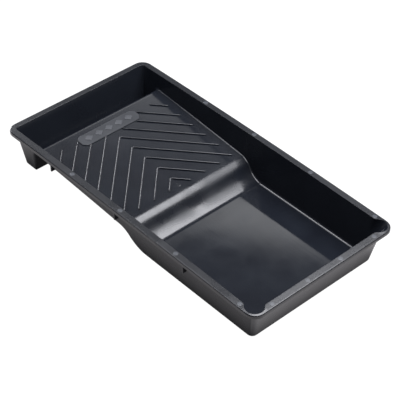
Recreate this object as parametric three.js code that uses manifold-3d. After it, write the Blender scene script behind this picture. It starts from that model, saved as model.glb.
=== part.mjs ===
// Paint roller tray for a 100 mm mini roller: a deep paint well, an S-shaped step, a ribbed roller ramp
// and a deep rear trough that doubles as the rear foot, under one flat rim with a pouring spout at each
// front corner. The object is one moulding, modelled here as its named features.
// Units are millimetres. X runs along the tray towards the deep well, Y runs across it to the left, Z is up.
// The origin is on the ground, under the middle of the rim.

import * as THREE from 'three';
import { mergeVertices } from 'three/addons/utils/BufferGeometryUtils.js';
import Module from 'manifold-3d';

const wasm = await Module();
wasm.setup();

// ---- Driving dimensions ------------------------------------------------------------------------------

const RIM_LENGTH = 306;
const RIM_WIDTH = 155;
const TRAY_HEIGHT = 38.3;
const WALL = 1.0;                 // thickness of every wall, floor and flange
const GAP = 0.3;                  // clearance between neighbouring solids

const RIM_BAND = 6.2;             // width of the flat rim around the opening
const RIM_CORNER_RADIUS = 9.8;
const LIP_DEPTH = 3.8;            // height of the rim's down-turned edge

const SIDE_DRAFT = Math.tan(THREE.MathUtils.degToRad(8.5));
const FRONT_DRAFT = Math.tan(THREE.MathUtils.degToRad(10.1));
const BACK_DRAFT = Math.tan(THREE.MathUtils.degToRad(6.8));
const FRONT_CORNER_RADIUS = 4;    // inside vertical corners at the deep end
const BACK_CORNER_RADIUS = 2.5;   // inside vertical corners at the shallow end

const RAMP_ANGLE = THREE.MathUtils.degToRad(4.47);
const RAMP_HEIGHT_AT_ORIGIN = 14.45;  // height of the ramp's plane, carried on to X = 0
const STEP_START_X = -12.4;        // where the ramp begins to curve down
const STEP_ANGLE = THREE.MathUtils.degToRad(49);  // the steepest slope of the step
const STEP_TOP_RADIUS = 16.6;
const STEP_FOOT_RADIUS = 25.8;
const CREASE_ANGLE = THREE.MathUtils.degToRad(8);  // what is left of the slope where it meets the floor

const TROUGH_FRONT_X = -123.6;    // front face of the rear foot, where it meets the ramp's underside
const TROUGH_FRONT_DRAFT = Math.tan(THREE.MathUtils.degToRad(9.1));
const TROUGH_CORNER_RADIUS = 6.5; // outside vertical corners of the rear foot's front face

const RIB_WIDTH = 1.5;
const RIB_HEIGHT = 1.2;
const RIB_PITCH = 16.6;
const FIRST_APEX_X = -27.1;       // apex of the smallest chevron, nearest the well
const RIB_COUNT = 9;
const RIB_FIELD = { front: -15.7, back: -110.7, halfWidth: 60 };

const BADGE = { back: -115.5, front: -102, halfWidth: 32, chamfer: 3.5, height: 0.8, relief: 0.4 };
const BADGE_DIAMONDS = 5;
const DIAMOND = { halfLength: 3.6, halfWidth: 4.4, pitch: 11 };

const GUSSET_THICKNESS = 1.4;
const GUSSET_REACH = 74.2;        // distance of a gusset's outer edge from the middle plane
const GUSSET_DEPTH = 15.6;        // how far a gusset hangs below the rim's top
const GUSSET_X = { rear: -95.2, middle: -12.5, front: 70 };

const SPOUT_RADIUS = 7.8;         // inside radius of a spout, level with the rim
const SPOUT_DEPTH = 12;           // how far below the rim a spout fades into the corner
const SPOUT_SHIFT = 5.2;          // how far its axis moves inwards, along X and along Y, over that depth

const ARC_STEPS = 8;              // straight pieces per quarter turn
const MARGIN = 20;                // how far cutting shapes run past what they cut

// ---- Sizes that follow from them ---------------------------------------------------------------------

const OPENING = {
  back: RIM_BAND - RIM_LENGTH / 2,
  front: RIM_LENGTH / 2 - RIM_BAND,
  halfWidth: RIM_WIDTH / 2 - RIM_BAND,
};
const PLATE_UNDERSIDE = TRAY_HEIGHT - WALL;
const LIP_BOTTOM = TRAY_HEIGHT - LIP_DEPTH;
const SPOUT_CENTRE = {
  x: RIM_LENGTH / 2 - RIM_CORNER_RADIUS,
  y: RIM_WIDTH / 2 - RIM_CORNER_RADIUS,
};

function rampHeight(x) {
  return RAMP_HEIGHT_AT_ORIGIN - x * Math.tan(RAMP_ANGLE);
}

// ---- Making solids -----------------------------------------------------------------------------------

function solid(geometry) {
  const bare = geometry.clone();
  bare.deleteAttribute('normal');
  bare.deleteAttribute('uv');
  const merged = mergeVertices(bare, 1e-4);
  return new wasm.Manifold(new wasm.Mesh({
    numProp: 3,
    vertProperties: new Float32Array(merged.getAttribute('position').array),
    triVerts: new Uint32Array(merged.index.array),
  }));
}

function geometryOf(body) {
  const { vertProperties, triVerts } = body.getMesh();
  const geometry = new THREE.BufferGeometry();
  geometry.setAttribute('position', new THREE.BufferAttribute(vertProperties, 3));
  geometry.setIndex(new THREE.BufferAttribute(triVerts, 1));
  geometry.computeVertexNormals();
  return geometry;
}

// The largest of a solid's separate bodies: what a cut leaves over as loose slivers is dropped.
function mainBody(body) {
  return body.decompose().reduce((best, next) => (next.volume() > best.volume() ? next : best));
}

// A flat outline in X and Y, raised from one height to another.
function prism(outline, bottom, top) {
  const geometry = new THREE.ExtrudeGeometry(outline, {
    depth: top - bottom,
    bevelEnabled: false,
    curveSegments: ARC_STEPS,
  });
  return geometry.translate(0, 0, bottom);
}

// A flat outline in X and Z, drawn out along Y from -halfWidth to halfWidth.
function acrossTheTray(outline, halfWidth) {
  const geometry = new THREE.ExtrudeGeometry(outline, { depth: 2 * halfWidth, bevelEnabled: false });
  return geometry.rotateX(Math.PI / 2).translate(0, halfWidth, 0);
}

function roundedRectangle(back, front, halfWidth, backRadius, frontRadius) {
  const quarter = Math.PI / 2;
  const outline = new THREE.Shape();
  outline.absarc(front - frontRadius, halfWidth - frontRadius, frontRadius, 0, quarter);
  outline.absarc(back + backRadius, halfWidth - backRadius, backRadius, quarter, 2 * quarter);
  outline.absarc(back + backRadius, backRadius - halfWidth, backRadius, 2 * quarter, 3 * quarter);
  outline.absarc(front - frontRadius, frontRadius - halfWidth, frontRadius, 3 * quarter, 4 * quarter);
  outline.closePath();
  return outline;
}

// A rounded rectangle raised into a block whose four sides lean in as they go down. Its sizes are those
// at the rim's top, and each lean is how far that side moves in for each millimetre of depth.
function draftedBlock({ back, front, halfWidth, backRadius, frontRadius }, bottom, top, leans) {
  const geometry = prism(roundedRectangle(back, front, halfWidth, backRadius, frontRadius), bottom, top);
  const corners = geometry.getAttribute('position');
  const middle = (back + front) / 2;
  for (let i = 0; i < corners.count; i += 1) {
    const depth = TRAY_HEIGHT - corners.getZ(i);
    const x = corners.getX(i);
    const y = corners.getY(i);
    corners.setX(i, x > middle ? x - leans.front * depth : x + leans.back * depth);
    corners.setY(i, y - Math.sign(y) * leans.side * depth);
  }
  return solid(geometry);
}

// ---- The basin ---------------------------------------------------------------------------------------

// Points of the ramp, the step and the well floor, seen from the side, from back to front. They are set
// out on the basin's inside surface and moved down square to it by the given thickness.
function floorLine(thickness) {
  const points = [];
  const put = (x, z, slope) => {
    points.push(new THREE.Vector2(x - thickness * Math.sin(slope), z - thickness * Math.cos(slope)));
  };
  put(OPENING.back - MARGIN, rampHeight(OPENING.back - MARGIN), RAMP_ANGLE);

  const steps = ARC_STEPS;
  const topCentre = {
    x: STEP_START_X - STEP_TOP_RADIUS * Math.sin(RAMP_ANGLE),
    z: rampHeight(STEP_START_X) - STEP_TOP_RADIUS * Math.cos(RAMP_ANGLE),
  };
  for (let i = 0; i <= steps; i += 1) {
    const slope = THREE.MathUtils.lerp(RAMP_ANGLE, STEP_ANGLE, i / steps);
    put(
      topCentre.x + STEP_TOP_RADIUS * Math.sin(slope),
      topCentre.z + STEP_TOP_RADIUS * Math.cos(slope),
      slope,
    );
  }

  const archEnd = {
    x: topCentre.x + STEP_TOP_RADIUS * Math.sin(STEP_ANGLE),
    z: topCentre.z + STEP_TOP_RADIUS * Math.cos(STEP_ANGLE),
  };
  const footDrop = STEP_FOOT_RADIUS * (Math.cos(CREASE_ANGLE) - Math.cos(STEP_ANGLE));
  const straightDrop = archEnd.z - WALL - footDrop;
  const footStart = { x: archEnd.x + straightDrop / Math.tan(STEP_ANGLE), z: archEnd.z - straightDrop };
  for (let i = 0; i <= steps; i += 1) {
    const slope = THREE.MathUtils.lerp(STEP_ANGLE, CREASE_ANGLE, i / steps);
    put(
      footStart.x + STEP_FOOT_RADIUS * (Math.sin(STEP_ANGLE) - Math.sin(slope)),
      footStart.z - STEP_FOOT_RADIUS * (Math.cos(slope) - Math.cos(STEP_ANGLE)),
      slope,
    );
  }
  const crease = points.pop();
  points.push(new THREE.Vector2(crease.x, WALL - thickness));
  points.push(new THREE.Vector2(OPENING.front + MARGIN, WALL - thickness));
  return points;
}

// Everything above the floor line.
function spaceAboveFloor(thickness) {
  const top = TRAY_HEIGHT + MARGIN;
  const outline = new THREE.Shape(floorLine(thickness));
  outline.lineTo(OPENING.front + MARGIN, top);
  outline.lineTo(OPENING.back - MARGIN, top);
  outline.closePath();
  return solid(acrossTheTray(outline, RIM_WIDTH));
}

// The basin as a filled block, grown outwards by a distance: 0 gives the space inside it, the wall
// thickness gives its outside.
function basinBlock(growth, top) {
  const leans = { front: FRONT_DRAFT, back: BACK_DRAFT, side: SIDE_DRAFT };
  const bottom = WALL - growth;
  const body = draftedBlock({
    back: OPENING.back - growth,
    front: OPENING.front + growth,
    halfWidth: OPENING.halfWidth + growth,
    backRadius: BACK_CORNER_RADIUS + growth,
    frontRadius: FRONT_CORNER_RADIUS + growth,
  }, bottom, top, leans).intersect(spaceAboveFloor(growth));

  const troughFrontAtRim = TROUGH_FRONT_X + TROUGH_FRONT_DRAFT * (TRAY_HEIGHT - rampHeight(TROUGH_FRONT_X));
  const trough = draftedBlock({
    back: OPENING.back - growth,
    front: troughFrontAtRim - WALL + growth,
    halfWidth: OPENING.halfWidth + growth,
    backRadius: BACK_CORNER_RADIUS + growth,
    frontRadius: TROUGH_CORNER_RADIUS - WALL + growth,
  }, bottom, top, { ...leans, front: TROUGH_FRONT_DRAFT });
  return body.add(trough);
}

// ---- Pouring spouts ----------------------------------------------------------------------------------

// A round scoop that starts level with the rim's corner and moves inwards as it goes down, until it
// fades into the basin's own corner. Side is 1 on the left and -1 on the right.
function spoutScoop(side, growth, bottom, top) {
  const geometry = new THREE.CylinderGeometry(1, 1, top - bottom, 4 * ARC_STEPS);
  geometry.rotateX(Math.PI / 2).translate(0, 0, (top + bottom) / 2);
  const corners = geometry.getAttribute('position');
  for (let i = 0; i < corners.count; i += 1) {
    const shift = SPOUT_SHIFT * (TRAY_HEIGHT - corners.getZ(i)) / SPOUT_DEPTH;
    const radius = SPOUT_RADIUS + growth;
    corners.setX(i, SPOUT_CENTRE.x - shift + radius * corners.getX(i));
    corners.setY(i, side * (SPOUT_CENTRE.y - shift) + radius * corners.getY(i));
  }
  return solid(geometry);
}

function pourSpout(side) {
  const bottom = TRAY_HEIGHT - 1.5 * SPOUT_DEPTH;
  const top = LIP_BOTTOM - GAP;
  const bowl = spoutScoop(side, WALL, bottom, top);
  const hollow = spoutScoop(side, 0, bottom - MARGIN, top + MARGIN);
  return mainBody(bowl.subtract(hollow).subtract(basinBlock(WALL + GAP, TRAY_HEIGHT)));
}

// ---- Shell and rim -----------------------------------------------------------------------------------

function trayShell() {
  const above = TRAY_HEIGHT + MARGIN;
  let shell = basinBlock(WALL, PLATE_UNDERSIDE - GAP).subtract(basinBlock(0, above));
  for (const side of [1, -1]) {
    shell = shell.subtract(spoutScoop(side, 0, TRAY_HEIGHT - 1.5 * SPOUT_DEPTH, above));
  }
  return mainBody(shell);
}

function rimOutline(inset) {
  const radius = RIM_CORNER_RADIUS - inset;
  const halfLength = RIM_LENGTH / 2 - inset;
  return roundedRectangle(-halfLength, halfLength, RIM_WIDTH / 2 - inset, radius, radius);
}

function rimFlange() {
  const above = TRAY_HEIGHT + MARGIN;
  const block = solid(prism(rimOutline(0), LIP_BOTTOM, TRAY_HEIGHT));
  const recess = solid(prism(rimOutline(WALL), LIP_BOTTOM - MARGIN, PLATE_UNDERSIDE));
  const wallSpace = basinBlock(WALL + GAP, PLATE_UNDERSIDE);
  let rim = block.subtract(recess);
  for (const side of [1, -1]) {
    const collar = spoutScoop(side, WALL, LIP_BOTTOM, PLATE_UNDERSIDE + WALL / 2).intersect(block);
    rim = rim.add(collar.subtract(wallSpace));
  }
  rim = rim.subtract(basinBlock(0, above));
  for (const side of [1, -1]) {
    rim = rim.subtract(spoutScoop(side, 0, LIP_BOTTOM - MARGIN, above));
  }
  return mainBody(rim);
}

// ---- Gussets -----------------------------------------------------------------------------------------

function gusset(x, side) {
  const web = new THREE.BoxGeometry(GUSSET_THICKNESS, GUSSET_REACH, GUSSET_DEPTH - WALL - GAP);
  web.translate(x, side * GUSSET_REACH / 2, TRAY_HEIGHT - GUSSET_DEPTH + (GUSSET_DEPTH - WALL - GAP) / 2);
  return mainBody(solid(web).subtract(basinBlock(WALL + GAP, TRAY_HEIGHT)));
}

// ---- Ribs and badge, set out on the ramp's own plane -------------------------------------------------

function alongRamp(x) {
  return x / Math.cos(RAMP_ANGLE);
}

// A straight arm with round ends, from one point to another of the ramp.
function ribArm(from, to) {
  const heading = Math.atan2(to.y - from.y, to.x - from.x);
  const radius = RIB_WIDTH / 2;
  const quarter = Math.PI / 2;
  const outline = new THREE.Shape();
  outline.absarc(alongRamp(to.x), to.y, radius, heading - quarter, heading + quarter);
  outline.absarc(alongRamp(from.x), from.y, radius, heading + quarter, heading + 3 * quarter);
  outline.closePath();
  return solid(prism(outline, GAP, RIB_HEIGHT));
}

// One arm of a chevron runs at 45 degrees from its apex, as far as the ribbed field reaches. An arm whose
// apex would lie behind the badge's front edge starts clear of the badge instead.
function chevronArm(apexX, side) {
  const reach = Math.min(RIB_FIELD.halfWidth, RIB_FIELD.front - apexX);
  let start = 0;
  if (apexX < BADGE.front) {
    const clearance = GAP + RIB_WIDTH / 2;
    const startInFront = BADGE.front + clearance - apexX;
    const startBeside = Math.max(RIB_FIELD.back - apexX, BADGE.halfWidth + clearance);
    start = Math.min(startInFront, startBeside);
  }
  return ribArm({ x: apexX + start, y: side * start }, { x: apexX + reach, y: side * reach });
}

function badgeOutline() {
  const { halfWidth, chamfer } = BADGE;
  const back = alongRamp(BADGE.back);
  const front = alongRamp(BADGE.front);
  return new THREE.Shape([
    new THREE.Vector2(back, chamfer - halfWidth),
    new THREE.Vector2(back + chamfer, -halfWidth),
    new THREE.Vector2(front - chamfer, -halfWidth),
    new THREE.Vector2(front, chamfer - halfWidth),
    new THREE.Vector2(front, halfWidth - chamfer),
    new THREE.Vector2(front - chamfer, halfWidth),
    new THREE.Vector2(back + chamfer, halfWidth),
    new THREE.Vector2(back, halfWidth - chamfer),
  ]);
}

function diamondOutline(middle) {
  const centreX = alongRamp((BADGE.back + BADGE.front) / 2);
  return new THREE.Shape([
    new THREE.Vector2(centreX - DIAMOND.halfLength, middle),
    new THREE.Vector2(centreX, middle - DIAMOND.halfWidth),
    new THREE.Vector2(centreX + DIAMOND.halfLength, middle),
    new THREE.Vector2(centreX, middle + DIAMOND.halfWidth),
  ]);
}

// A plain raised plate with a row of raised diamonds on it.
function badgePlate() {
  let badge = solid(prism(badgeOutline(), GAP, BADGE.height));
  for (let i = 0; i < BADGE_DIAMONDS; i += 1) {
    const middle = (i - (BADGE_DIAMONDS - 1) / 2) * DIAMOND.pitch;
    badge = badge.add(solid(prism(diamondOutline(middle), GAP, BADGE.height + BADGE.relief)));
  }
  return badge;
}

// ---- The tray ----------------------------------------------------------------------------------------

function glossBlack() {
  return new THREE.MeshStandardMaterial({ color: 0x1b1d21, roughness: 0.22, metalness: 0 });
}

function frostedBlack() {
  return new THREE.MeshStandardMaterial({ color: 0x2c2e33, roughness: 0.55, metalness: 0 });
}

function place(parent, name, body, material) {
  const mesh = new THREE.Mesh(geometryOf(body), material);
  mesh.name = name;
  parent.add(mesh);
}

const SIDES = [['left', 1], ['right', -1]];

const tray = new THREE.Group();
place(tray, 'tray_shell', trayShell(), glossBlack());
place(tray, 'rim_flange', rimFlange(), glossBlack());
for (const [sideName, side] of SIDES) {
  place(tray, `pour_spout_${sideName}`, pourSpout(side), glossBlack());
  for (const [station, x] of Object.entries(GUSSET_X)) {
    place(tray, `gusset_${sideName}_${station}`, gusset(x, side), glossBlack());
  }
}

const rampPlane = new THREE.Group();
rampPlane.position.set(0, 0, RAMP_HEIGHT_AT_ORIGIN);
rampPlane.rotation.y = RAMP_ANGLE;
tray.add(rampPlane);

for (let i = 0; i < RIB_COUNT; i += 1) {
  const apexX = FIRST_APEX_X - i * RIB_PITCH;
  const name = `rib_${i + 1}`;
  if (apexX > BADGE.front) {
    place(rampPlane, name, chevronArm(apexX, 1).add(chevronArm(apexX, -1)), glossBlack());
  } else {
    for (const [sideName, side] of SIDES) {
      place(rampPlane, `${name}_${sideName}`, chevronArm(apexX, side), glossBlack());
    }
  }
}
place(rampPlane, 'badge_plate', badgePlate(), frostedBlack());

export default tray;
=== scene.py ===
import math

import bmesh
import bpy
import numpy as np
from mathutils import Matrix, Vector


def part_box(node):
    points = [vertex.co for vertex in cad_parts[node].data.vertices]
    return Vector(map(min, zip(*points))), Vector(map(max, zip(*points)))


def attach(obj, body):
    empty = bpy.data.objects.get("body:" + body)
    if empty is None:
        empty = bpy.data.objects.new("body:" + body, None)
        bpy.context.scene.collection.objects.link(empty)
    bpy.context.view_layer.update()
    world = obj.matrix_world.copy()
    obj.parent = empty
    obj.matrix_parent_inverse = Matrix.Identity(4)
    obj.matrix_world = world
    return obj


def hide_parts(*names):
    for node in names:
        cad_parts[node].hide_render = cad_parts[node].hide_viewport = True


# A glossy black roller tray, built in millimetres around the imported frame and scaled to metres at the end.
# X runs towards the deep well, Y across the tray, Z up, with the ground at 0.

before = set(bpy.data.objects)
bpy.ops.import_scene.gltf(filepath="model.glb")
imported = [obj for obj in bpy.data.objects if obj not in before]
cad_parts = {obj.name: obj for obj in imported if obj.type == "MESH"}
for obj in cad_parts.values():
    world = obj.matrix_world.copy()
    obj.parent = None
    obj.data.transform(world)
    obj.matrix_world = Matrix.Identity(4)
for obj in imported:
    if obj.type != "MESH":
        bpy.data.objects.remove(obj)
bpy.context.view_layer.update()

MM = 0.001
WELD = 1e-7                              # in metres: vertices nearer than this are one


def node_box(name):
    low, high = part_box(name)
    return np.array(low) / MM, np.array(high) / MM


# ---- Sizes ---------------------------------------------------------------------------------------------

RIM_LOW, RIM_HIGH = node_box("rim_flange")
HALF_LENGTH, HALF_WIDTH, TOP = RIM_HIGH
LIP_BOTTOM = RIM_LOW[2]
WALL = 1.0
RIM_BAND = 6.2
RIM_CORNER = 9.8
OPEN_X = HALF_LENGTH - RIM_BAND          # the opening's half length and half width at the rim's top
OPEN_Y = HALF_WIDTH - RIM_BAND

SIDE_DRAFT = math.radians(8.5)
FRONT_DRAFT = math.radians(10.1)
BACK_DRAFT = math.radians(6.8)
TROUGH_DRAFT = math.radians(9.1)
FRONT_CORNER = 4.0                       # inside vertical corners
BACK_CORNER = 2.5

RAMP = math.radians(4.47)
RAMP_Z = 14.45                           # height of the ramp's plane, carried on to X = 0
STEP_START_X = -12.4
STEP = math.radians(49.0)                # steepest slope of the step
STEP_TOP_RADIUS = 16.6
STEP_FOOT_RADIUS = 25.8
CREASE = math.radians(8.0)               # slope that the step still has where it meets the well floor
TROUGH_FRONT_X = -123.6                  # outer front face of the rear foot, at the ramp's height

FLOOR_FILLET = 1.8                       # inside bottom edges: of the well, and of the ramp
RAMP_FILLET = 0.8
TROUGH_FILLET = 5.0                      # vertical inside corners beside the trough's front face
RIDGE_RADIUS = 3.0                       # rear edge of the ramp
BOTTOM_EDGE = 2.2                        # outside bottom edges: under the well, the ramp and the rear foot
RAMP_EDGE = 3.0
FOOT_EDGE = 1.0
FOOT_CORNER = 3.0                        # outside vertical corners of the rear foot
FACE_FADE = 4.0                          # these corners fade out over this distance from the face, over
GROUND_FADE = 5.0                        # this height down to GROUND_CLEAR, and this one up to the ramp
RAMP_FADE = 4.0
GROUND_CLEAR = 3.0
FOOT_CHANGE = 6.0                        # lengths of tray over which the bottom edges' rounding changes
STEP_CHANGE = 40.0
WELL_CHANGE = 30.0
WELL_EDGE_X = 20.0                       # from here on the inside edge has the well's fillet

SPOUT_RADIUS = 7.8
SPOUT_WALL = 1.0
SPOUT_DEPTH = 12.0
SPOUT_SHIFT = 5.2                        # how far a spout's axis moves inwards over that depth
SPOUT_REACH = 18.0                       # below the rim's top, deeper than where the scoop leaves the wall
SPOUT_BLEND = 1.5                        # rounding between a spout and the walls, and the share of it
SPOUT_FADE = 0.9                         # that is gone at the scoop's lower end
SPOUT_X = HALF_LENGTH - RIM_CORNER
SPOUT_Y = HALF_WIDTH - RIM_CORNER

INNER_EDGE = 0.25                        # rounding of the rim's inner and outer top edges
OUTER_EDGE = 0.9
LIP_EDGE = 0.3
LIP_THICKNESS = 1.0
LIP_ROOT = 0.1                           # the small chamfer where the lip meets the rim's underside
RIM_SLOPE = math.radians(3.5)            # how far the flat of the rim leans outwards
PLATE_FILLET = 0.5                       # between the rim's underside and the wall
FILLET_SHARE = 0.7                       # the most of the room there that this fillet may take
SPLIT_DEPTH = 0.8                        # below the rim's underside, where its piece meets the basin's
SPLIT_Z = TOP - WALL - SPLIT_DEPTH

CROWN_MIDDLE = 0.6                       # a slight warp: the rim is higher at mid-length than at its ends
CROWN_DROP = 1.9

RIB_RADIUS = 0.75
RIB_HEIGHT = 1.2
RIB_CROWN = 0.45                         # height of a rib's rounded top
RIB_FOOT = 0.07                          # how much wider a rib is at the ramp, and below it
RIB_ROOT = 0.12
RIB_TIP = 0.04                           # size of its section at the very tip
RIB_APEX_RADIUS = 1.3
SUNK = 0.4                               # how far small pieces reach into what they stand on

BADGE_CUT = 3.5                          # the badge's cut corners, and the rounding of their ends
BADGE_ROUND = 1.2
BADGE_HEIGHT = 0.8
BADGE_EDGE = 0.3
DIAMONDS = 5                             # raised diamonds on the badge
DIAMOND_PITCH = 11.0
DIAMOND_X = 3.6                          # half its size along the tray and across it
DIAMOND_Y = 4.4
DIAMOND_ROUND = 0.6
DIAMOND_HEIGHT = 1.2
DIAMOND_EDGE = 0.35

GUSSET_RISE = 0.2                        # how far a gusset reaches into the rim and into the wall
GUSSET_SUNK = 0.5
GUSSET_TAPER = 0.5                       # how much narrower it is at its bottom end
GUSSET_BEVEL = 0.25

MARK_INSET = 3.5                         # ejector marks: distance of their middles from the rim's edge
MARK_RADIUS = 2.0
MARK_HEIGHT = 0.12
MARK_SUNK = 0.3
MARKS_ALONG_FRONT = (-56, -18, 18, 56)
MARKS_ALONG_SIDES = (-65, -4, 62.5, 134)
GATE_X = -17.0                           # the mark in the middle of the ramp where the plastic went in
GATE_RADIUS = 2.0
GATE_HEIGHT = 0.45


def ramp_height(x):
    return RAMP_Z - x * math.tan(RAMP)


# ---- The moulding as implicit surfaces, negative inside ------------------------------------------------


def round_union(a, b, r):
    """Either shape, with their meeting line filled to a radius."""
    return np.maximum(r, np.minimum(a, b)) - np.hypot(np.maximum(r - a, 0), np.maximum(r - b, 0))


def round_intersection(a, b, r):
    """What both shapes share, with their meeting edge rounded to a radius."""
    return np.minimum(-r, np.maximum(a, b)) + np.hypot(np.maximum(r + a, 0), np.maximum(r + b, 0))


def step_arcs():
    """Centres of the step's two arcs, as (x, z)."""
    top = (
        STEP_START_X - STEP_TOP_RADIUS * math.sin(RAMP),
        ramp_height(STEP_START_X) - STEP_TOP_RADIUS * math.cos(RAMP),
    )
    end_x = top[0] + STEP_TOP_RADIUS * math.sin(STEP)
    end_z = top[1] + STEP_TOP_RADIUS * math.cos(STEP)
    drop = end_z - WALL - STEP_FOOT_RADIUS * (math.cos(CREASE) - math.cos(STEP))
    start_x = end_x + drop / math.tan(STEP)
    foot = (
        start_x + STEP_FOOT_RADIUS * math.sin(STEP),
        end_z - drop + STEP_FOOT_RADIUS * math.cos(STEP),
    )
    return top, foot


ARC_TOP, ARC_FOOT = step_arcs()


def floor_line(x, growth):
    """Height and slope of the ramp, step and well floor, moved down square to themselves by growth."""
    top_radius = STEP_TOP_RADIUS - growth
    foot_radius = STEP_FOOT_RADIUS + growth
    arch_start = ARC_TOP[0] + top_radius * math.sin(RAMP)
    arch_end = ARC_TOP[0] + top_radius * math.sin(STEP)
    foot_start = ARC_FOOT[0] - foot_radius * math.sin(STEP)
    arch_end_z = ARC_TOP[1] + top_radius * math.cos(STEP)

    sine_top = np.clip((x - ARC_TOP[0]) / top_radius, -1, 1)
    sine_foot = np.clip((ARC_FOOT[0] - x) / foot_radius, 0, 1)
    height = ramp_height(x) - growth / math.cos(RAMP)
    slope = np.full_like(x, RAMP)
    on_arch = x > arch_start
    height = np.where(on_arch, ARC_TOP[1] + top_radius * np.sqrt(1 - sine_top ** 2), height)
    slope = np.where(on_arch, np.arcsin(sine_top), slope)
    on_straight = x > arch_end
    height = np.where(on_straight, arch_end_z - (x - arch_end) * math.tan(STEP), height)
    slope = np.where(on_straight, STEP, slope)
    on_foot = x > foot_start
    height = np.where(on_foot, ARC_FOOT[1] - foot_radius * np.sqrt(1 - sine_foot ** 2), height)
    slope = np.where(on_foot, np.arcsin(sine_foot), slope)
    on_floor = (x > ARC_FOOT[0]) | (on_foot & (height < WALL - growth))
    height = np.where(on_floor, WALL - growth, height)
    slope = np.where(on_floor, 0.0, slope)
    return height, slope


def side_reach(z, growth):
    """How far out a side wall stands at a height. The front, back and trough reaches are the same in X."""
    return OPEN_Y + growth - math.tan(SIDE_DRAFT) * (TOP - z)


def front_reach(z, growth):
    return OPEN_X + growth - math.tan(FRONT_DRAFT) * (TOP - z)


def back_reach(z, growth):
    return -OPEN_X - growth + math.tan(BACK_DRAFT) * (TOP - z)


def trough_reach(z, growth):
    at_rim = TROUGH_FRONT_X + math.tan(TROUGH_DRAFT) * (TOP - ramp_height(TROUGH_FRONT_X))
    return at_rim - WALL + growth - math.tan(TROUGH_DRAFT) * (TOP - z)


def walls(x, y, z, growth):
    """The space between the four drafted walls."""
    side = (np.abs(y) - side_reach(z, growth)) * math.cos(SIDE_DRAFT)
    front = (x - front_reach(z, growth)) * math.cos(FRONT_DRAFT)
    back = (back_reach(z, growth) - x) * math.cos(BACK_DRAFT)
    return np.maximum(
        round_intersection(side, front, FRONT_CORNER + growth),
        round_intersection(side, back, BACK_CORNER + growth),
    )


def spout(x, y, z, growth):
    """A leaning round scoop in each front corner, open at the top."""
    shift = SPOUT_SHIFT * (TOP - z) / SPOUT_DEPTH
    radius = SPOUT_RADIUS + growth * SPOUT_WALL / WALL
    scoop = np.hypot(x - SPOUT_X + shift, np.abs(y) - SPOUT_Y + shift) - radius
    return np.maximum(scoop, TOP - SPOUT_REACH - z)


def outer_edge(x):
    """Rounding of the outside bottom edge along the tray: under the foot, the ramp and the well."""
    past_foot = np.clip((x - TROUGH_FRONT_X) / FOOT_CHANGE, 0, 1)
    past_ramp = np.clip((x - STEP_START_X) / STEP_CHANGE, 0, 1)
    under_ramp = FOOT_EDGE + (RAMP_EDGE - FOOT_EDGE) * past_foot
    return under_ramp + (BOTTOM_EDGE - RAMP_EDGE) * past_ramp


def inner_edge(x):
    """Rounding of the inside bottom edge along the tray: narrow on the ramp, wider in trough and well."""
    past_foot = np.clip((x - TROUGH_FRONT_X) / FOOT_CHANGE, 0, 1)
    before_well = np.clip((WELL_EDGE_X - x) / WELL_CHANGE, 0, 1)
    return FLOOR_FILLET + (RAMP_FILLET - FLOOR_FILLET) * past_foot * before_well


def basin(point, growth):
    """The space inside the tray (growth 0) or the whole solid outline (growth WALL)."""
    x, y, z = point.T
    outside = growth > 0
    height, slope = floor_line(x, growth)
    main = (height - z) * np.cos(slope)
    face = (x - trough_reach(z, growth)) * math.cos(TROUGH_DRAFT)
    trough = round_intersection(face, WALL - growth - z, FOOT_EDGE if outside else FLOOR_FILLET)
    space = round_union(main, trough, RIDGE_RADIUS / 2 if outside else RIDGE_RADIUS)

    # The edge between walls and floor is wider where it runs up beside the trough's front face. The
    # extra width fades out away from the face, and towards the ground and the ramp.
    low, high = (outer_edge(x), FOOT_CORNER) if outside else (inner_edge(x), TROUGH_FILLET)
    near_face = np.clip(1 - np.abs(face) / FACE_FADE, 0, 1)
    near_face = near_face * np.clip((z - GROUND_CLEAR) / GROUND_FADE, 0, 1)
    near_face = near_face * np.clip((ramp_height(x) - z) / RAMP_FADE, 0, 1)
    edge = low + (high - low) * near_face
    body = round_intersection(walls(x, y, z, growth), space, edge)
    fade = np.clip((TOP - z) / SPOUT_DEPTH, 0, 1)
    return round_union(body, spout(x, y, z, growth), SPOUT_BLEND * (1 - SPOUT_FADE * fade))


def gradient(point, growth):
    """How fast the basin's surface value grows in each direction."""
    step = 1e-3
    parts = []
    for axis in np.eye(3) * step:
        parts.append((basin(point + axis, growth) - basin(point - axis, growth)) / (2 * step))
    return np.stack(parts, axis=1)


SETTLE_ROUNDS = 14
LONGEST_MOVE = 1.5
SLOPE_FLOOR = 0.05                       # keeps a flat spot from throwing a point far away


def settle(point, growth, level=False):
    """Moves points onto the surface: along its slope, or level with the ground."""
    point = point.copy()
    for _ in range(SETTLE_ROUNDS):
        slope = gradient(point, growth)
        if level:
            slope[:, 2] = 0
        size = np.maximum((slope ** 2).sum(axis=1), SLOPE_FLOOR)
        move = (basin(point, growth) / size)[:, None] * slope
        length = np.linalg.norm(move, axis=1)
        point -= move * np.minimum(1, LONGEST_MOVE / np.maximum(length, 1e-9))[:, None]
    return point


# ---- Grid of the floor, and rings of the walls ---------------------------------------------------------

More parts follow.
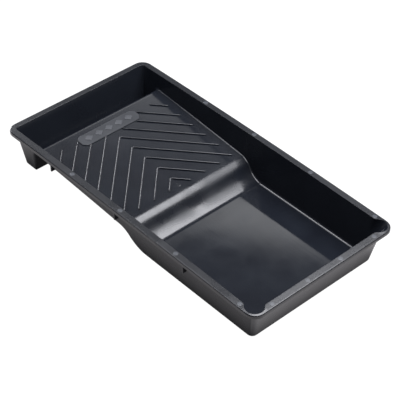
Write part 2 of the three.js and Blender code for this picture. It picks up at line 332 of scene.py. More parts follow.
NEAR_EDGE = [0.0, 0.45, 0.9, 1.4, 2.0, 2.8, 3.8, 5.0]   # distances from an edge that gets a fillet
SPOUT_ROWS = [6.0 + i for i in range(15)]               # even rows that carry a spout's curve
COARSE = 7.0
FINE = 2.0                               # spacing in the narrow trough
STEP_COLUMNS = 44                        # columns that carry the step's curve
MIDDLE_ROWS = 15
FACE_TOP = [0, 0.02, 0.05, 0.08, 0.12, 0.17]            # shares of the trough's front face, from each end
FACE_BOTTOM = [0, 0.02, 0.04, 0.07, 0.11, 0.16, 0.22]
FACE_MIDDLE = 0.08
RIDGE_COLUMNS = [0, 0.6, 1.2, 2, 3, 4.5]                # on the ramp, behind the step and past the crease
RAMP_END_COLUMNS = [0, 0.8]
CREASE_COLUMNS = [0, 0.8, 2]
RING_DEPTHS = [1.5 * i for i in range(13)] + [22.0, 26.0]   # wall rings below the rim, for 30 mm of wall
RING_SPAN = 30.0
FRONT_FAN = 60.0                         # columns this near the front lean with the front wall


def graded(length, near, far, coarse=COARSE):
    """Distances from 0 to length that are fine towards both ends."""
    near = [d for d in near if d < length / 2]
    far = [d for d in far if d < length / 2]
    first, last = near[-1], length - far[-1]
    count = max(1, math.ceil((last - first) / coarse))
    middle = [first + (last - first) * i / count for i in range(1, count)]
    return np.array(near + middle + [length - d for d in reversed(far)])


def crease_x():
    """Where the step's lower arc meets the well floor."""
    return ARC_FOOT[0] - STEP_FOOT_RADIUS * math.sin(CREASE)


def ridge_x(growth):
    """Where the trough's front face meets the ramp, before rounding, found by going back and forth."""
    x = TROUGH_FRONT_X
    for _ in range(30):
        x = trough_reach(floor_line(np.array([x]), growth)[0][0], growth)
    return x


def share_of(length, near, far, coarse=COARSE):
    """The same division as graded, as shares of the length."""
    return graded(length, near, far, coarse) / length


def column_line(growth):
    """Sharp-cornered side view of the basin, back to front. Inside and outside get equally many points."""
    base = WALL - growth
    back, front = back_reach(base, growth), front_reach(base, growth)
    foot, ridge = trough_reach(base, growth), ridge_x(growth)
    ridge_z = floor_line(np.array([ridge]), growth)[0][0]
    crease = crease_x()

    trough_inside = trough_reach(WALL, 0) - back_reach(WALL, 0)
    floor_inside = front_reach(WALL, 0) - crease
    trough = back + (foot - back) * share_of(trough_inside, NEAR_EDGE, NEAR_EDGE, FINE)
    face = graded(1.0, FACE_BOTTOM, FACE_TOP, FACE_MIDDLE)
    ramp_inside = STEP_START_X - ridge_x(0)
    ramp = ridge + (STEP_START_X - ridge) * share_of(ramp_inside, RIDGE_COLUMNS, RAMP_END_COLUMNS)
    step = np.linspace(STEP_START_X, crease, STEP_COLUMNS)
    floor = crease + (front - crease) * share_of(floor_inside, CREASE_COLUMNS, NEAR_EDGE + SPOUT_ROWS)

    points = [(x, base) for x in trough]
    points += [(foot + (ridge - foot) * t, base + (ridge_z - base) * t) for t in face[1:]]
    along = np.concatenate([ramp[1:], step[1:], floor[1:]])
    points += list(zip(along, floor_line(along, growth)[0]))
    return np.array(points), len(trough)


def row_places():
    """Each row's side (-1 or 1), its distance from that side wall, and its share of the middle stretch."""
    fine = NEAR_EDGE + SPOUT_ROWS
    middle = np.linspace(-1, 1, MIDDLE_ROWS)[1:-1]
    rows = [(-1, d, None) for d in fine]
    rows += [(0, None, share) for share in middle]
    rows += [(1, d, None) for d in reversed(fine)]
    return rows


def row_y(row, z, growth):
    """Where a row runs at a height."""
    side, distance, share = row
    reach = side_reach(z, growth)
    if side:
        return side * (reach - distance)
    return share * (reach - SPOUT_ROWS[-1])


def round_corner(x, y, z, growth):
    """Pulls points of a square corner onto the rounded plan of the walls."""
    for end, radius in ((1, FRONT_CORNER + growth), (-1, BACK_CORNER + growth)):
        edge = front_reach(z, growth) if end > 0 else -back_reach(z, growth)
        u = (end * x - (edge - radius)) / radius
        v = (np.abs(y) - (side_reach(z, growth) - radius)) / radius
        inside = (u > 0) & (v > 0)
        size = np.where(inside, np.maximum(u, v) / np.maximum(np.hypot(u, v), 1e-9), 1)
        x = np.where(inside, end * (edge - radius + radius * u * size), x)
        y = np.where(inside, np.sign(y) * (side_reach(z, growth) - radius + radius * v * size), y)
    return x, y


def perimeter(columns, rows):
    """Grid places round the edge of the floor, as (column, row), in one loop."""
    loop = [(i, 0) for i in range(columns)]
    loop += [(columns - 1, j) for j in range(1, rows)]
    loop += [(i, rows - 1) for i in range(columns - 2, -1, -1)]
    loop += [(0, j) for j in range(rows - 2, 0, -1)]
    return loop


def basin_points(growth, top):
    """The floor grid and the wall rings above it, up to a height, all lying on the surface."""
    line, trough_count = column_line(growth)
    rows = row_places()
    columns, count = len(line), len(rows)
    grid = np.zeros((columns, count, 3))
    for i, (x, z) in enumerate(line):
        for j, row in enumerate(rows):
            grid[i, j] = (x, row_y(row, z, growth), z)
    flat = grid.reshape(-1, 3)
    flat[:, 0], flat[:, 1] = round_corner(flat[:, 0], flat[:, 1], flat[:, 2], growth)
    floor = settle(flat, growth).reshape(grid.shape)

    loop = perimeter(columns, count)
    base_z = np.array([line[i][1] for i, _ in loop])
    base_x = np.array([line[i][0] for i, _ in loop])
    low_z = WALL - growth
    front_share = np.clip(1 - (front_reach(low_z, growth) - base_x) / FRONT_FAN, 0, 1)
    trough_length = line[trough_count - 1][0] - line[0][0]
    back_share = np.clip(1 - (base_x - line[0][0]) / trough_length, 0, 1)
    levels = NEAR_EDGE[1:]
    shares = [1 - depth / RING_SPAN for depth in reversed(RING_DEPTHS)]

    rings = []
    heights = [base_z + e for e in levels]
    for share in shares:
        heights.append(base_z + levels[-1] + (top - base_z - levels[-1]) * share)
    for number, z in enumerate(heights):
        lift = z - base_z
        x = base_x + front_share * math.tan(FRONT_DRAFT) * lift
        x = x - back_share * math.tan(BACK_DRAFT) * lift
        y = np.array([row_y(rows[j], height, growth) for (_, j), height in zip(loop, z)])
        x, y = round_corner(x, y, z, growth)
        ring = np.stack([x, y, z], axis=1)
        rings.append(settle(ring, growth, level=number >= len(levels)))
    return floor, loop, rings


# ---- Rim ----------------------------------------------------------------------------------------------


def level_normal(point, growth):
    """The level direction square to the wall at each point."""
    slope = gradient(point, growth)
    slope[:, 2] = 0
    return slope / np.linalg.norm(slope, axis=1)[:, None]


def outer_direction(point):
    """The middle of the rim's rounding, and the way out from it, for each point of the inner edge."""
    core = np.array([HALF_LENGTH - RIM_CORNER, HALF_WIDTH - RIM_CORNER])
    flat = point[:, :2]
    middle = np.clip(flat, -core, core)
    way = flat - middle
    return middle, way / np.linalg.norm(way, axis=1)[:, None]


def rim_height(x, y):
    """Height of the rim's flat, which leans outwards from its inner edge."""
    out = max(abs(x) - HALF_LENGTH, abs(y) - HALF_WIDTH) + RIM_BAND - INNER_EDGE
    return TOP - max(out, 0) * math.tan(RIM_SLOPE)


def rim_rings(inner_ring, outer_ring):
    """Rings from the inner wall, over the rim and round the lip, to the outer wall."""
    quarter = [math.pi / 2 * i / 4 for i in range(1, 5)]
    normal = level_normal(inner_ring, 0)
    rings = []
    for turn in quarter:
        ring = inner_ring + normal * INNER_EDGE * (1 - math.cos(turn))
        ring[:, 2] = TOP - INNER_EDGE + INNER_EDGE * math.sin(turn)
        rings.append(ring)
    middle, way = outer_direction(rings[-1])

    def outline(inset, z):
        ring = np.zeros_like(inner_ring)
        ring[:, :2] = middle + way * (RIM_CORNER - inset)
        ring[:, 2] = z
        return ring

    edge_z = rim_height(HALF_LENGTH - OUTER_EDGE, 0)
    flat_start, flat_end = rings[-1], outline(OUTER_EDGE, edge_z)
    for share in (0.1, 0.5, 0.9):
        rings.append(flat_start + (flat_end - flat_start) * share)
    rings.append(flat_end)
    for turn in quarter:
        drop = OUTER_EDGE * (1 - math.cos(turn))
        rings.append(outline(OUTER_EDGE * (1 - math.sin(turn)), edge_z - drop))
    rings.append(outline(0, (edge_z + LIP_BOTTOM) / 2))
    for turn in [0] + quarter:
        inset = LIP_EDGE * (1 - math.cos(turn))
        rings.append(outline(inset, LIP_BOTTOM + LIP_EDGE * (1 - math.sin(turn))))
    for turn in [0] + quarter:
        inset = LIP_THICKNESS - LIP_EDGE * (1 - math.sin(turn))
        rings.append(outline(inset, LIP_BOTTOM + LIP_EDGE * (1 - math.cos(turn))))
    plate = TOP - WALL
    under_edge = edge_z - WALL
    rings.append(outline(LIP_THICKNESS, under_edge - LIP_ROOT))
    rings.append(outline(LIP_THICKNESS + LIP_ROOT, under_edge))

    # The fillet between the rim's underside and the wall shrinks where a spout leaves no room for it.
    wall_top = outer_ring.copy()
    wall_top[:, 2] = plate
    wall_top = settle(wall_top, WALL, level=True)
    wall_normal = level_normal(wall_top, WALL)
    room = np.linalg.norm(rings[-1] - wall_top, axis=1)
    reach = np.minimum(PLATE_FILLET, room * FILLET_SHARE)[:, None]
    for turn in [0] + quarter:
        ring = wall_top + wall_normal * reach * (1 - math.sin(turn))
        ring[:, 2] = plate - reach[:, 0] * (1 - math.cos(turn))
        rings.append(ring)
    return rings


# ---- Turning points into pieces ------------------------------------------------------------------------


def warped(points):
    """The moulding's slight warp: full at the rim, nothing on the ground."""
    points = np.array(points, float)
    rise = CROWN_MIDDLE - CROWN_DROP * (points[:, 0] / HALF_LENGTH) ** 2
    points[:, 2] += rise * np.clip(points[:, 2] / TOP, 0, None)
    return points


def add_piece(name, vertices, faces, material, replaced=(), sharp=38, second=None):
    """A closed mesh as a piece on the tray. second is (material, first face, one past the last face)."""
    mesh = bpy.data.meshes.new(name)
    mesh.from_pydata((warped(vertices) * MM).tolist(), [], faces)
    if second:
        for polygon in mesh.polygons[second[1]:second[2]]:
            polygon.material_index = 1
    work = bmesh.new()
    work.from_mesh(mesh)
    bmesh.ops.remove_doubles(work, verts=work.verts, dist=WELD)
    bmesh.ops.recalc_face_normals(work, faces=work.faces)
    if work.calc_volume(signed=True) < 0:
        bmesh.ops.reverse_faces(work, faces=work.faces)
    for face in work.faces:
        face.smooth = True
    work.to_mesh(mesh)
    work.free()
    mesh.set_sharp_from_angle(angle=math.radians(sharp))
    mesh.materials.append(material)
    if second:
        mesh.materials.append(second[0])
    piece = bpy.data.objects.new(name, mesh)
    bpy.context.scene.collection.objects.link(piece)
    weighted = piece.modifiers.new("even_shading", "WEIGHTED_NORMAL")
    weighted.keep_sharp = True
    weighted.weight = 80
    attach(piece, "root")
    if replaced:
        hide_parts(*replaced)
    return piece


def between_rings(first, second, count):
    """Faces between two closed rings whose vertices start at these numbers."""
    faces = []
    for i in range(count):
        j = (i + 1) % count
        faces.append((first + i, first + j, second + j, second + i))
    return faces


def stack_rings(rings, closed=False):
    """Vertices and faces of a run of rings, or of a closed loop of them."""
    count = len(rings[0])
    faces = []
    for k in range(len(rings) - 1):
        faces += between_rings(k * count, (k + 1) * count, count)
    if closed:
        faces += between_rings((len(rings) - 1) * count, 0, count)
    return np.concatenate(rings), faces


def sheet(floor, loop, rings):
    """Vertices and faces of the floor grid with its wall rings, and the vertices of the last ring."""
    columns, rows = floor.shape[:2]
    vertices = [floor.reshape(-1, 3)]
    faces = []
    for i in range(columns - 1):
        for j in range(rows - 1):
            a = i * rows + j
            faces.append((a, a + 1, a + rows + 1, a + rows))
    edge = [i * rows + j for i, j in loop]
    start = columns * rows
    for ring in rings:
        vertices.append(ring)
        numbers = list(range(start, start + len(ring)))
        for i in range(len(ring)):
            j = (i + 1) % len(ring)
            faces.append((edge[i], edge[j], numbers[j], numbers[i]))
        edge = numbers
        start += len(ring)
    return np.concatenate(vertices), faces, edge


def close_ends(points, faces, count):
    """Adds the two end faces of a stack of rings that have this many points each."""
    faces.append(tuple(range(count)))
    faces.append(tuple(reversed(range(len(points) - count, len(points)))))


def build_basin_and_rim(inside, outside):
    """The two big pieces. Each has one material on its inside face and another one on the rest."""
    inner = basin_points(0.0, SPLIT_Z)
    outer = basin_points(WALL, SPLIT_Z)
    inner_points, inner_faces, inner_edge = sheet(*inner)
    outer_points, outer_faces, outer_edge = sheet(*outer)
    offset = len(inner_points)
    faces = inner_faces + [tuple(offset + v for v in reversed(face)) for face in outer_faces]
    count = len(inner_edge)
    for i in range(count):
        j = (i + 1) % count
        faces.append((inner_edge[i], inner_edge[j], offset + outer_edge[j], offset + outer_edge[i]))
    points = np.concatenate([inner_points, outer_points])
    replaced = ("tray_shell", "pour_spout_left", "pour_spout_right")
    add_piece("basin", points, faces, inside, replaced, second=(outside, len(inner_faces), len(faces)))

    inner_split, outer_split = inner[2][-1], outer[2][-1]
    inner_top = inner_split.copy()
    inner_top[:, 2] = TOP - INNER_EDGE
    inner_top = settle(inner_top, 0.0, level=True)
    rings = [inner_split, inner_top] + rim_rings(inner_top, outer_split) + [outer_split]
    points, faces = stack_rings(rings, closed=True)
    add_piece("rim", points, faces, inside, ("rim_flange",), second=(outside, count, len(faces)))


# ---- Ribs, badge, gussets ------------------------------------------------------------------------------


def on_ramp(x, y, lift):
    """A point of the ramp, given level, raised square to it."""
    return np.array([x + lift * math.sin(RAMP), y, ramp_height(x) + lift * math.cos(RAMP)])


def rib_path(name):
    """Middle line of a rib in plan, from one tip to the other."""
    low, high = node_box(name)
    start_x, end_x = low[0] + RIB_RADIUS, high[0] - RIB_RADIUS
    reach = end_x - start_x
    if low[1] < 0 < high[1]:
        centre_x = start_x + RIB_APEX_RADIUS * math.sqrt(2)
        tangent = RIB_APEX_RADIUS / math.sqrt(2)
        apex = [
            (centre_x - RIB_APEX_RADIUS * math.cos(turn), RIB_APEX_RADIUS * math.sin(turn))
            for turn in np.linspace(-math.pi / 4, math.pi / 4, 9)
        ]
        arm = [(start_x + d, d) for d in np.linspace(tangent, reach, 14)[1:]]
        return [(x, -y) for x, y in reversed(arm)] + apex + arm
    side = 1 if high[1] > 0 else -1
    inner_y = min(abs(low[1]), abs(high[1])) + RIB_RADIUS
    return [(start_x + reach * t, side * (inner_y + reach * t)) for t in np.linspace(0, 1, 12)]


def rib_section():
    """Across a rib: (sideways, up), a rounded top on slightly drafted sides."""
    crown = RIB_HEIGHT - RIB_CROWN
    points = [(RIB_RADIUS + RIB_ROOT, -SUNK), (RIB_RADIUS + RIB_FOOT, 0.0), (RIB_RADIUS, crown)]
    for turn in np.linspace(0, math.pi, 9)[1:-1]:
        points.append((RIB_RADIUS * math.cos(turn), crown + RIB_CROWN * math.sin(turn)))
    points += [(-x, z) for x, z in reversed(points[:3])]
    return points


def build_rib(name, material):
    """A rib of the chevron pattern, with a rounded tip at each end."""
    path = np.array(rib_path(name))
    section = rib_section()
    ends = [math.cos(t) for t in np.linspace(0, math.pi / 2, 5)[1:]]
    ways = np.gradient(path, axis=0)
    ways /= np.linalg.norm(ways, axis=1)[:, None]
    stations = [(p, w, 1.0) for p, w in zip(path, ways)]
    for share in ends:
        reach = RIB_RADIUS * math.sqrt(1 - share ** 2)
        size = max(share, RIB_TIP)
        stations.insert(0, (path[0] - ways[0] * reach, ways[0], size))
        stations.append((path[-1] + ways[-1] * reach, ways[-1], size))
    rings = []
    for place, way, size in stations:
        across = np.array([-way[1], way[0]])
        ring = []
        for sideways, up in section:
            spot = place + across * sideways * size
            lift = up * size if up > 0 else up
            ring.append(on_ramp(spot[0], spot[1], lift))
        rings.append(np.array(ring))
    points, faces = stack_rings(rings)
    close_ends(points, faces, len(section))
    add_piece(name + "_moulded", points, faces, material, (name,))


def rounded_outline(corners, radius, steps=5):
    """A polygon in plan with its corners rounded."""
    corners = np.array(corners, float)
    count = len(corners)
    outline = []
    for i in range(count):
        here, before, after = corners[i], corners[i - 1], corners[(i + 1) % count]
        way_in = (before - here) / np.linalg.norm(before - here)
        way_out = (after - here) / np.linalg.norm(after - here)
        for t in np.linspace(0, 1, steps):
            outline.append(here + radius * (way_in * (1 - t) ** 2 + way_out * t ** 2))
    return np.array(outline)


def ramp_plateau(name, corners, radius, bottom, top, edge, material, replaced=()):
    """A low raised plate on the ramp with a rounded top edge."""
    outline = rounded_outline(corners, radius)
    middle = outline.mean(axis=0)
    reach = np.abs(outline - middle).max(axis=0)
    rings = []
    levels = [(0, bottom), (0, top - edge)]
    for turn in np.linspace(0, math.pi / 2, 5)[1:]:
        levels.append((edge * (1 - math.cos(turn)), top - edge + edge * math.sin(turn)))
    levels.append((edge * 2, top))
    for inset, lift in levels:
        shrunk = middle + (outline - middle) * (1 - inset / reach)
        rings.append(np.array([on_ramp(x, y, lift) for x, y in shrunk]))
    points, faces = stack_rings(rings)
    close_ends(points, faces, len(outline))
    add_piece(name, points, faces, material, replaced)


def build_badge(plate_material, diamond_material):
    """A plate with cut corners, and a row of plain diamonds on it."""
    low, high = node_box("badge_plate")
    back, front, half = low[0], high[0], high[1]
    cut = BADGE_CUT
    corners = [
        (back, cut - half), (back + cut, -half), (front - cut, -half), (front, cut - half),
        (front, half - cut), (front - cut, half), (back + cut, half), (back, half - cut),
    ]
    ramp_plateau(
        "badge", corners, BADGE_ROUND, -SUNK, BADGE_HEIGHT, BADGE_EDGE, plate_material, ("badge_plate",)
    )
    x = (back + front) / 2
    for i in range(DIAMONDS):
        y = (i - (DIAMONDS - 1) / 2) * DIAMOND_PITCH
        diamond = [(x - DIAMOND_X, y), (x, y - DIAMOND_Y), (x + DIAMOND_X, y), (x, y + DIAMOND_Y)]
        ramp_plateau(
            f"badge_diamond_{i + 1}", diamond, DIAMOND_ROUND, BADGE_HEIGHT - SUNK, DIAMOND_HEIGHT,
            DIAMOND_EDGE, diamond_material,
        )


def build_gusset(name, material):
    """A thin upright web between a side wall and the rim's underside."""
    low, high = node_box(name)
    side = 1 if high[1] > 0 else -1
    outer = max(abs(low[1]), abs(high[1]))
    top, bottom = TOP - WALL + GUSSET_RISE, low[2]
    thick = (high[0] - low[0]) / 2
    middle_x = (low[0] + high[0]) / 2

    def embedded(z):
        return side_reach(z, WALL) - GUSSET_SUNK

    shape = [
        (embedded(top), top), (outer, top),
        (outer - GUSSET_TAPER, bottom), (embedded(bottom), bottom),
    ]
    points = []
    for x in (middle_x - thick, middle_x + thick):
        points += [(x, side * y, z) for y, z in shape]
    faces = between_rings(0, 4, 4)
    close_ends(points, faces, 4)
    piece = add_piece(name + "_web", points, faces, material, (name,))
    bevel = piece.modifiers.new("soft_edges", "BEVEL")
    bevel.width = GUSSET_BEVEL * MM
    bevel.segments = 3
    piece.modifiers.move(1, 0)


def build_disc(name, x, y, z_of, radius, lift, material):
    """A faint round mark left by the mould, on a surface whose height is z_of(x, y)."""
    turns = np.linspace(0, 2 * math.pi, 33)[:-1]
    profile = [(1.0, -MARK_SUNK), (1.0, lift * 0.4), (0.96, lift * 0.85), (0.9, lift), (0.4, lift)]
    rings = []
    for size, height in profile:
        ring = []
        for turn in turns:
            edge_x = x + radius * size * math.cos(turn)
            edge_y = y + radius * size * math.sin(turn)
            ring.append((edge_x, edge_y, z_of(edge_x, edge_y) + height))
        rings.append(np.array(ring))
    points, faces = stack_rings(rings)
    close_ends(points, faces, len(turns))
    add_piece(name, points, faces, material)


def build_mould_marks(rim_mark, ramp_mark):
    """Ejector marks along the front and both sides of the rim, and the gate mark on the ramp."""
    places = [(HALF_LENGTH - MARK_INSET, y) for y in MARKS_ALONG_FRONT]
    for side in (-1, 1):
        places += [(x, side * (HALF_WIDTH - MARK_INSET)) for x in MARKS_ALONG_SIDES]
    for number, (x, y) in enumerate(places, 1):
        build_disc(f"ejector_mark_{number}", x, y, rim_height, MARK_RADIUS, MARK_HEIGHT, rim_mark)
    build_disc("gate_mark", GATE_X, 0.0, lambda x, y: ramp_height(x), GATE_RADIUS, GATE_HEIGHT, ramp_mark)


# ---- Materials -----------------------------------------------------------------------------------------

NOISE_SPREAD = (0.3, 0.7)                # the stretch of a noise's values that is used
COLOUR_NOISE = (30, 3)                   # scale and detail of the colour change, the polish, the scuffs,
POLISH_NOISE = (60, 5)                   # the moulded waves and the streaks
SCUFF_NOISE = (38, 4)
WAVE_NOISE = (25, 2)
STREAK_NOISE = (1, 4)
PLASTIC_IOR = 1.49
# Painted sheen: the trough's back wall gets a lighter, bluish tone that stands in for lamp light it
# scatters.
BACK_WALL_SHEEN_COLOUR = (0.20, 0.23, 0.29, 1)
BACK_WALL_SHEEN_X = (-138, -143)                    # painted sheen, wear and scuffs grow from the first X to the second
WEAR_X = (30, -5)
SCUFF_BACK_X = (-14, -8)
SCUFF_FRONT_X = (13, 7)
SCUFF_SHARE = 2.5                        # how strong the scuffs on the step are, against the ramp's wear
STREAK_SCALE = (12, 600, 60)             # streaks are long in X and fine in Y
STREAK_SHARE = 0.12


def new_material(name):
    material = bpy.data.materials.new(name)
    material.use_nodes = True
    material.node_tree.nodes.clear()
    return material, material.node_tree


def feed(tree, value, socket):
    """Sets a node's input to a number, or links it to another node's output."""
    if isinstance(value, (int, float)):
        socket.default_value = value
    else:
        tree.links.new(value, socket)


def combined(tree, operation, first, second=0.0):
    """The result of a Math node."""
    node = tree.nodes.new("ShaderNodeMath")
    node.operation = operation
    feed(tree, first, node.inputs[0])
    feed(tree, second, node.inputs[1])
    return node.outputs["Value"]


def ranged(tree, value, from_min, from_max, to_min, to_max, interpolation="LINEAR"):
    """A value carried over from one range to another, and held at its ends."""
    node = tree.nodes.new("ShaderNodeMapRange")
    node.interpolation_type = interpolation
    node.inputs["From Min"].default_value = from_min
    node.inputs["From Max"].default_value = from_max
    node.inputs["To Min"].default_value = to_min
    node.inputs["To Max"].default_value = to_max
    tree.links.new(value, node.inputs["Value"])
    return node.outputs["Result"]


def split_point(tree, point):
    """The X, Y and Z of a point in a node tree."""
    node = tree.nodes.new("ShaderNodeSeparateXYZ")
    tree.links.new(point, node.inputs["Vector"])
    return node.outputs["X"], node.outputs["Y"], node.outputs["Z"]


def noise(tree, point, scale_and_detail):
    node = tree.nodes.new("ShaderNodeTexNoise")
    node.inputs["Scale"].default_value = scale_and_detail[0]
    node.inputs["Detail"].default_value = scale_and_detail[1]
    tree.links.new(point, node.inputs["Vector"])
    return node.outputs["Fac"]


def colour_mix(tree, factor, first, second):
    """Two colours mixed. The first may come from another node."""
    node = tree.nodes.new("ShaderNodeMix")
    node.data_type = "RGBA"
    node.inputs["B"].default_value = second
    tree.links.new(factor, node.inputs["Factor"])
    if isinstance(first, tuple):
        node.inputs["A"].default_value = first
    else:
        tree.links.new(first, node.inputs["A"])
    return node.outputs["Result"]


def moulded_waves(tree, point, wave):
    """The faint waves of a moulded face, with streaks along the tray where rollers have rubbed it."""
    stretch = tree.nodes.new("ShaderNodeMapping")
    stretch.inputs["Scale"].default_value = STREAK_SCALE
    tree.links.new(point, stretch.inputs["Vector"])
    streaks = noise(tree, stretch.outputs["Vector"], STREAK_NOISE)
    waves = noise(tree, point, WAVE_NOISE)
    height = combined(tree, "ADD", combined(tree, "MULTIPLY", streaks, STREAK_SHARE), waves)
    bump = tree.nodes.new("ShaderNodeBump")
    bump.inputs["Strength"].default_value = 1.0
    bump.inputs["Distance"].default_value = wave * MM
    tree.links.new(height, bump.inputs["Height"])
    return bump.outputs["Normal"]


def black_plastic(name, dark, light, smooth, rough, wave, worn=0.0, back_wall_sheen=0.0):
    """Moulded black plastic: slight colour change, uneven polish and the faint waves of a moulded face.

    smooth and rough bound its roughness, and wave is the height of its waves in millimetres. worn is how
    much rougher the ramp and the step are, where rollers run. The last one is how much painted sheen the
    trough's back wall gets: a lighter tone that stands in for lamp light it scatters.
    """
    material, tree = new_material(name)
    output = tree.nodes.new("ShaderNodeOutputMaterial")
    surface = tree.nodes.new("ShaderNodeBsdfPrincipled")
    surface.inputs["IOR"].default_value = PLASTIC_IOR
    tree.links.new(surface.outputs["BSDF"], output.inputs["Surface"])
    point = tree.nodes.new("ShaderNodeTexCoord").outputs["Object"]
    x = split_point(tree, point)[0]

    def patchy(scale_and_detail, low, high):
        return ranged(tree, noise(tree, point, scale_and_detail), *NOISE_SPREAD, low, high)

    def along(stretch, amount):
        """0 at the first place of a stretch of the tray, rising to the amount at the second."""
        start, end = stretch
        if start < end:
            return ranged(tree, x, start * MM, end * MM, 0, amount)
        return ranged(tree, x, end * MM, start * MM, amount, 0)

    colour = colour_mix(tree, patchy(COLOUR_NOISE, 0, 1), (*dark, 1), (*light, 1))
    # Painted sheen: the trough's back wall is mixed towards a lighter bluish tone that stands in for lamp
    # light.
    sheened_colour = colour_mix(tree, along(BACK_WALL_SHEEN_X, back_wall_sheen), colour, BACK_WALL_SHEEN_COLOUR)
    tree.links.new(sheened_colour, surface.inputs["Base Color"])

    # Cloudy scuffs on the step, on top of the even wear of the ramp.
    on_step = combined(tree, "MULTIPLY", along(SCUFF_BACK_X, 1), along(SCUFF_FRONT_X, 1))
    scuffs = combined(tree, "MULTIPLY", on_step, patchy(SCUFF_NOISE, 0, worn * SCUFF_SHARE))
    polish = combined(tree, "ADD", patchy(POLISH_NOISE, smooth, rough), along(WEAR_X, worn))
    tree.links.new(combined(tree, "ADD", polish, scuffs), surface.inputs["Roughness"])

    tree.links.new(moulded_waves(tree, point, wave), surface.inputs["Normal"])
    return material


# ---- Studio --------------------------------------------------------------------------------------------

FLOOR_SIZE = 12.0                        # in metres, from the middle to each edge
FLOOR_DROP = 0.3                         # how far the floor lies below the tray
PAPER_COLOUR = (0.9, 0.9, 0.9, 1)
PAPER_SHOWN = 1.08                       # the paper's own brightness in the picture
PAPER_OWN = 0.95                         # share of that brightness; the rest is lit, with a soft shadow
PAPER_SEEN = (1.0, 0.97, 1.0, 1)         # the paper's colour in the plastic
SHADOW_WIDTH = 12                        # of the dark strip of paper along the tray's foot
GLOW_WIDTH = 68                          # the paper is at its brightest from here on
SHEET_END = (115, 150)                   # the lit sheet fades out over this stretch
FRONT_FADE = 4                           # the front strip starts this far behind the front of the foot
GLOW_SHADOW = (0.06, 0.43)               # brightness of the dark strip, from the tray outwards
GLOW_FRONT = (0.16, 1.1)                 # and of the strip in front of the tray, which faces the light
GLOW_RISE = 1.0                          # how much brighter the paper gets beyond the strip
GLOW_OUTSIDE = 0.06                      # share left beyond the sheet


def paper_glow(tree):
    """How bright the paper looks in the plastic, by its distance from the tray's foot."""
    position = tree.nodes.new("ShaderNodeNewGeometry").outputs["Position"]
    x, y, _ = split_point(tree, position)
    foot_x = front_reach(0, WALL) * MM
    foot_y = side_reach(0, WALL) * MM

    def square_beyond(value, reach):
        """The squared distance past a reach, on either side of the tray."""
        beyond = combined(tree, "SUBTRACT", combined(tree, "ABSOLUTE", value), reach)
        return combined(tree, "POWER", combined(tree, "MAXIMUM", beyond, 0.0), 2.0)

    off = combined(tree, "SQRT", combined(tree, "ADD", square_beyond(x, foot_x), square_beyond(y, foot_y)))
    strip = (-1 * MM, SHADOW_WIDTH * MM)
    shadow = ranged(tree, off, *strip, *GLOW_SHADOW)
    rise = ranged(tree, off, SHADOW_WIDTH * MM, GLOW_WIDTH * MM, 0.0, GLOW_RISE)
    in_front = ranged(tree, x, foot_x - FRONT_FADE * MM, foot_x, 0.0, 1.0)
    glow_in_front = combined(tree, "MULTIPLY", ranged(tree, off, *strip, *GLOW_FRONT), in_front)
    glow = combined(tree, "MAXIMUM", combined(tree, "ADD", shadow, rise), glow_in_front)
    on_sheet = ranged(tree, off, SHEET_END[0] * MM, SHEET_END[1] * MM, 1.0, GLOW_OUTSIDE)
    return combined(tree, "MULTIPLY", glow, on_sheet)


def show_apart(tree, output_kind, seen_by_plastic, seen_by_camera):
    """Shows one shader node to the camera and another one to everything else."""
    output = tree.nodes.new(output_kind)
    ray = tree.nodes.new("ShaderNodeLightPath")
    mix = tree.nodes.new("ShaderNodeMixShader")
    tree.links.new(ray.outputs["Is Camera Ray"], mix.inputs["Fac"])
    tree.links.new(seen_by_plastic.outputs[0], mix.inputs[1])
    tree.links.new(seen_by_camera.outputs[0], mix.inputs[2])
    tree.links.new(mix.outputs["Shader"], output.inputs["Surface"])


def white_floor():
    """A pale paper floor. The plastic sees a small sheet of it, darker close to the tray."""
    material, tree = new_material("pale_paper")
    paper = tree.nodes.new("ShaderNodeBsdfDiffuse")
    paper.inputs["Color"].default_value = PAPER_COLOUR
    shown = tree.nodes.new("ShaderNodeEmission")
    shown.inputs["Strength"].default_value = PAPER_SHOWN
    reflected = tree.nodes.new("ShaderNodeEmission")
    reflected.inputs["Color"].default_value = PAPER_SEEN
    tree.links.new(paper_glow(tree), reflected.inputs["Strength"])
    to_camera = tree.nodes.new("ShaderNodeMixShader")
    to_camera.inputs["Fac"].default_value = PAPER_OWN
    tree.links.new(paper.outputs["BSDF"], to_camera.inputs[1])
    tree.links.new(shown.outputs["Emission"], to_camera.inputs[2])
    show_apart(tree, "ShaderNodeOutputMaterial", reflected, to_camera)

    mesh = bpy.data.meshes.new("studio_floor")
    corners = [(-1, -1), (1, -1), (1, 1), (-1, 1)]
    mesh.from_pydata([(x * FLOOR_SIZE, y * FLOOR_SIZE, 0) for x, y in corners], [], [(0, 1, 2, 3)])
    mesh.materials.append(material)
    floor = bpy.data.objects.new("studio_floor", mesh)
    floor.location.z = -FLOOR_DROP * MM
    bpy.context.scene.collection.objects.link(floor)


BACKDROP_LIGHT = 2.3
ROOM_LIGHT = 0.18
ROOM_COLOUR = (0.98, 0.985, 1.0, 1)
BACKDROP_TURN = math.radians(60)         # from -X towards +Y, where the backdrop stands square on
BACKDROP_TOP = (0.914, 0.950)            # its soft upper and lower edges, as rise over run from the tray
BACKDROP_BOTTOM = (0.72, 0.80)


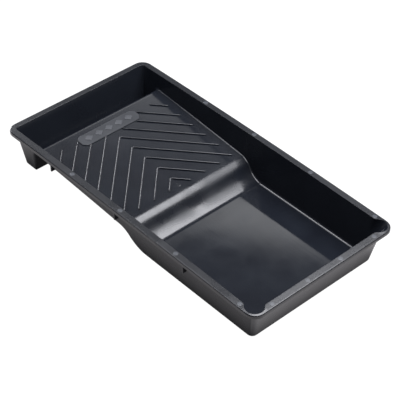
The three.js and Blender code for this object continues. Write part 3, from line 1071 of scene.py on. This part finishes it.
def studio_surroundings():
    """White to the camera; to the plastic, a dim room with a bright backdrop behind the tray."""
    world = bpy.data.worlds.new("studio")
    bpy.context.scene.world = world
    world.use_nodes = True
    tree = world.node_tree
    tree.nodes.clear()
    white = tree.nodes.new("ShaderNodeBackground")
    white.inputs["Color"].default_value = (1, 1, 1, 1)
    white.inputs["Strength"].default_value = 1.0
    room = tree.nodes.new("ShaderNodeBackground")
    room.inputs["Color"].default_value = ROOM_COLOUR

    x, y, z = split_point(tree, tree.nodes.new("ShaderNodeTexCoord").outputs["Generated"])
    toward = combined(
        tree, "ADD",
        combined(tree, "MULTIPLY", x, -math.cos(BACKDROP_TURN)),
        combined(tree, "MULTIPLY", y, math.sin(BACKDROP_TURN)),
    )
    rise = combined(tree, "DIVIDE", z, combined(tree, "MAXIMUM", toward, 0.001))
    under_top = ranged(tree, rise, *BACKDROP_TOP, 1.0, 0.0, "SMOOTHSTEP")
    above_bottom = ranged(tree, rise, *BACKDROP_BOTTOM, 0.0, 1.0, "SMOOTHSTEP")
    on_backdrop = combined(tree, "MULTIPLY", under_top, above_bottom)
    backdrop = combined(tree, "MULTIPLY", on_backdrop, BACKDROP_LIGHT)
    tree.links.new(combined(tree, "ADD", backdrop, ROOM_LIGHT), room.inputs["Strength"])
    show_apart(tree, "ShaderNodeOutputWorld", room, white)


LAMP_COLOUR = (0.95, 0.955, 1.0)


def softbox(name, middle, width, depth, radiance, facing=(0, 0, -1)):
    """A soft panel light, in metres, level unless it faces elsewhere. The camera doesn't see it."""
    light = bpy.data.lights.new(name, "AREA")
    light.shape = "RECTANGLE"
    light.size = width
    light.size_y = depth
    light.energy = radiance * math.pi * width * depth
    light.color = LAMP_COLOUR
    lamp = bpy.data.objects.new(name, light)
    lamp.location = middle
    lamp.rotation_euler = Vector(facing).to_track_quat("-Z", "Y").to_euler()
    lamp.visible_camera = False
    bpy.context.scene.collection.objects.link(lamp)


CAMERA_PLACE = (651.77, -594.70, 767.15)
CAMERA_TARGET = (-5.10, 13.24, -0.5)
CAMERA_ROLL = math.radians(0.80)
CAMERA_LENS = 125.66
CAMERA_SENSOR = 36
CAMERA_RANGE = (0.05, 50)                # metres


def camera():
    data = bpy.data.cameras.new("camera")
    data.sensor_width = CAMERA_SENSOR
    data.lens = CAMERA_LENS
    data.clip_start, data.clip_end = CAMERA_RANGE
    seat = bpy.data.objects.new("camera", data)
    bpy.context.scene.collection.objects.link(seat)
    place = Vector(CAMERA_PLACE) * MM
    target = Vector(CAMERA_TARGET) * MM
    aim = (target - place).to_track_quat("-Z", "Y").to_matrix().to_4x4()
    roll = Matrix.Rotation(CAMERA_ROLL, 4, "Z")
    seat.matrix_world = Matrix.Translation(place) @ aim @ roll
    bpy.context.scene.camera = seat


# ---- The scene -----------------------------------------------------------------------------------------

# The gloss also carries the painted sheen on the trough's back wall.
gloss = black_plastic(
    "gloss_black_plastic", (0.0072, 0.0085, 0.0122), (0.0100, 0.0120, 0.0166),
    smooth=0.05, rough=0.08, wave=0.03, worn=0.10, back_wall_sheen=0.03,
)
satin = black_plastic(
    "satin_black_plastic", (0.008, 0.009, 0.012), (0.011, 0.0125, 0.016),
    smooth=0.24, rough=0.32, wave=0.03,
)
satin_mark = black_plastic(
    "ejector_mark_plastic", (0.038, 0.042, 0.050), (0.050, 0.055, 0.064),
    smooth=0.30, rough=0.40, wave=0.02,
)
frosted = black_plastic(
    "frosted_black_plastic", (0.022, 0.024, 0.029), (0.034, 0.037, 0.043),
    smooth=0.34, rough=0.50, wave=0.04,
)
raised = black_plastic(
    "badge_diamond_plastic", (0.050, 0.053, 0.060), (0.070, 0.074, 0.082),
    smooth=0.28, rough=0.40, wave=0.03,
)

build_basin_and_rim(gloss, satin)
for node_name in sorted(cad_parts):
    if node_name.startswith("rib_"):
        build_rib(node_name, gloss)
    if node_name.startswith("gusset_"):
        build_gusset(node_name, satin)
build_badge(frosted, raised)
build_mould_marks(satin_mark, gloss)

white_floor()
studio_surroundings()
softbox("overhead_softbox", (0.135, 0.265, 0.82), width=0.61, depth=0.63, radiance=12.0)
softbox("left_softbox", (-0.425, -0.04, 0.82), width=0.23, depth=0.32, radiance=10.8)
softbox("low_left_panel", (-1.30, 0.10, 0.345), width=0.50, depth=0.55, radiance=17.0, facing=(1, 0, 0))
camera()
bpy.context.scene.view_settings.view_transform = "Standard"
